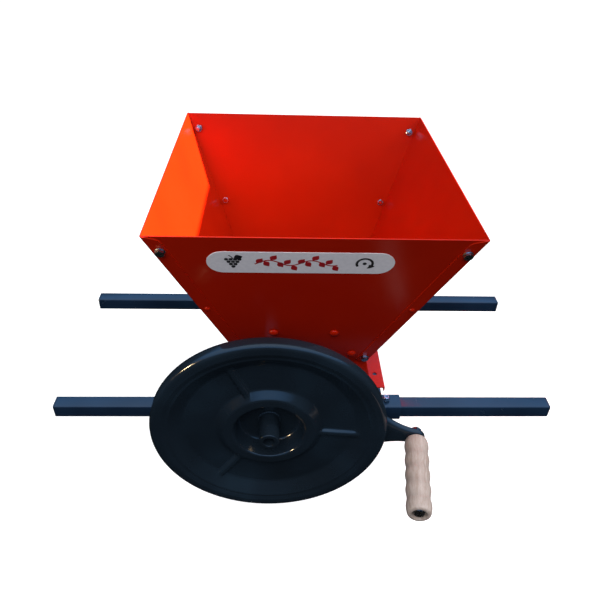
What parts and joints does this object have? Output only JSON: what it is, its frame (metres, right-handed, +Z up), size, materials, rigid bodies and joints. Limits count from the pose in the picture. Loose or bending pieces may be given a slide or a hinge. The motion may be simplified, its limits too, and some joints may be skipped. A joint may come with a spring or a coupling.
{
  "type": "manual grape crusher",
  "caption": "Hand-cranked roller grape crusher: sheet hopper over two fluted rollers, flywheel with crank handle, and telescoping carrying arms.",
  "frame": {"origin": "middle of the carrying frame, level with the underside of the four arms, where they rest on a vat", "axes": "+X along the arms, +Y from the flywheel towards the gears, +Z up out of the hopper"},
  "size_m": [0.674, 0.476, 0.4152],
  "materials": {
    "red_enamel": "glossy red stoving enamel",
    "navy_enamel": "glossy blue-black enamel",
    "zinc_steel": "bright zinc plating",
    "cast_aluminium": "cast and turned",
    "turned_steel": "machined",
    "beech": "turned and sanded beech",
    "nylon": "machined nylon",
    "label": "printed film on sheet"
  },
  "bodies": {
    "frame": {"front_sleeve": "navy_enamel", "back_sleeve": "navy_enamel", "left_cross_tube": "navy_enamel", "right_cross_tube": "navy_enamel", "lock_nuts": "navy_enamel", "lock_screws": "zinc_steel", "hopper_front_panel": "red_enamel", "hopper_back_panel": "red_enamel", "hopper_left_panel": "red_enamel", "hopper_right_panel": "red_enamel", "seam_bolts": "zinc_steel", "seam_nuts": "zinc_steel", "painted_seam_screws": "red_enamel", "painted_seam_nuts": "zinc_steel", "label_plate": "label", "front_end_plate": "red_enamel", "back_end_plate": "red_enamel", "left_box_wall": "red_enamel", "right_box_wall": "red_enamel", "flange_bolts": "zinc_steel", "tongue_bolts": "red_enamel", "tongue_nuts": "zinc_steel", "bearing_bushes": "nylon", "front_drive_housing": "navy_enamel", "front_driven_housing": "navy_enamel", "back_drive_housing": "navy_enamel", "back_driven_housing": "navy_enamel", "bearing_bolts": "zinc_steel", "bearing_nuts": "zinc_steel", "grape_deflector": "red_enamel", "gear_cover": "navy_enamel", "cover_bolts": "zinc_steel", "cover_spacers": "zinc_steel"},
    "drive_train": {"flywheel": "navy_enamel", "hub_tube": "navy_enamel", "hub_pin": "zinc_steel", "drive_shaft": "turned_steel", "drive_roller": "cast_aluminium", "drive_gear": "turned_steel", "drive_gear_key": "turned_steel", "drive_gear_bolt": "zinc_steel", "drive_snap_ring": "turned_steel", "handle_washers": "zinc_steel", "handle_nut": "zinc_steel", "handle_bolt": "zinc_steel"},
    "driven_train": {"driven_shaft": "turned_steel", "driven_roller": "cast_aluminium", "driven_gear": "turned_steel", "driven_gear_key": "turned_steel", "driven_gear_bolt": "zinc_steel", "driven_snap_ring": "turned_steel"},
    "grip": {"handle_grip": "beech"},
    "front_left_slide": {"front_left_arm": "navy_enamel", "front_left_arm_cap": "navy_enamel"},
    "front_right_slide": {"front_right_arm": "navy_enamel", "front_right_arm_cap": "navy_enamel"},
    "back_left_slide": {"back_left_arm": "navy_enamel", "back_left_arm_cap": "navy_enamel"},
    "back_right_slide": {"back_right_arm": "navy_enamel", "back_right_arm_cap": "navy_enamel"}
  },
  "joints": [
    {"name": "wheel_spin", "type": "hinge", "parent": "frame", "child": "drive_train", "pos_m": [-0.0471, 0, 0.0428], "axis": [0, 1, 0], "continuous": true},
    {"name": "driven_roller_spin", "type": "hinge", "parent": "frame", "child": "driven_train", "pos_m": [0.0369, 0, 0.0428], "axis": [0, 1, 0], "continuous": true},
    {"name": "grip_spin", "type": "hinge", "parent": "drive_train", "child": "grip", "pos_m": [0.13964, -0.187, 0.02383], "axis": [-0.1556, -0.9877, 0.0158], "continuous": true},
    {"name": "front_left_arm_slide", "type": "slide", "parent": "frame", "child": "front_left_slide", "axis": [-1, 0, 0], "range_m": [-0.082, 0.01]},
    {"name": "front_right_arm_slide", "type": "slide", "parent": "frame", "child": "front_right_slide", "axis": [1, 0, 0], "range_m": [-0.082, 0.01]},
    {"name": "back_left_arm_slide", "type": "slide", "parent": "frame", "child": "back_left_slide", "axis": [-1, 0, 0], "range_m": [-0.082, 0.01]},
    {"name": "back_right_arm_slide", "type": "slide", "parent": "frame", "child": "back_right_slide", "axis": [1, 0, 0], "range_m": [-0.082, 0.01]}
  ],
  "couplings": [
    {"joint": "driven_roller_spin", "follows": "wheel_spin", "ratio": -1}
  ]
}
